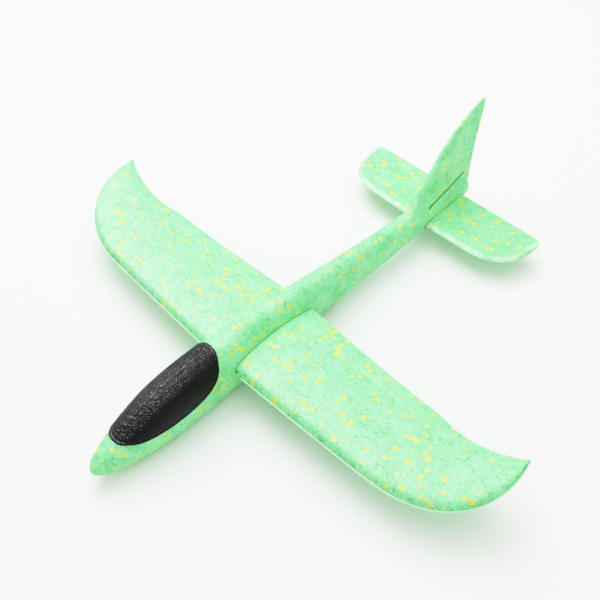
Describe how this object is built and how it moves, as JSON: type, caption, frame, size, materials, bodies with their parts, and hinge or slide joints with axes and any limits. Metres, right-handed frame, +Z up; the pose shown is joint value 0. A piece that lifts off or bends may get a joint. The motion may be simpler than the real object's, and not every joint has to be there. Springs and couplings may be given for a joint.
{
  "type": "toy airplane",
  "caption": "Hand-launch foam glider with push-in wings and tailplane, an upright fin, a dark canopy cap and a spare stunt slot in the tail.",
  "frame": {"origin": "centre of the bounding box in X and Y, on the floor the belly rests on (Z = 0)", "axes": "+X towards the pilot's left wing tip, -Y towards the nose, +Z up"},
  "size_m": [0.4802, 0.4598, 0.1224],
  "materials": {
    "foam_body": "mint green moulded bead foam with yellow beads",
    "foam_wing_left": "mint green moulded bead foam with yellow beads",
    "foam_wing_right": "mint green moulded bead foam with yellow beads",
    "foam_tailplane": "mint green moulded bead foam with yellow beads",
    "canopy_cap": "black foam sheet with a leather-like grain, satin",
    "steel_weight": "plain steel"
  },
  "bodies": {
    "airframe": {"fuselage": "foam_body", "canopy": "canopy_cap", "nose_weight": "steel_weight"},
    "left_half_wing": {"wing_left": "foam_wing_left"},
    "right_half_wing": {"wing_right": "foam_wing_right"},
    "tail": {"tailplane": "foam_tailplane"}
  },
  "joints": [
    {"name": "wing_left_slide", "type": "slide", "parent": "airframe", "child": "left_half_wing", "axis": [1, 0, 0], "range_m": [0, 0.06]},
    {"name": "wing_right_slide", "type": "slide", "parent": "airframe", "child": "right_half_wing", "axis": [-1, 0, 0], "range_m": [0, 0.06]},
    {"name": "tailplane_slide", "type": "slide", "parent": "airframe", "child": "tail", "axis": [1, 0, 0], "range_m": [0, 0.13]}
  ]
}
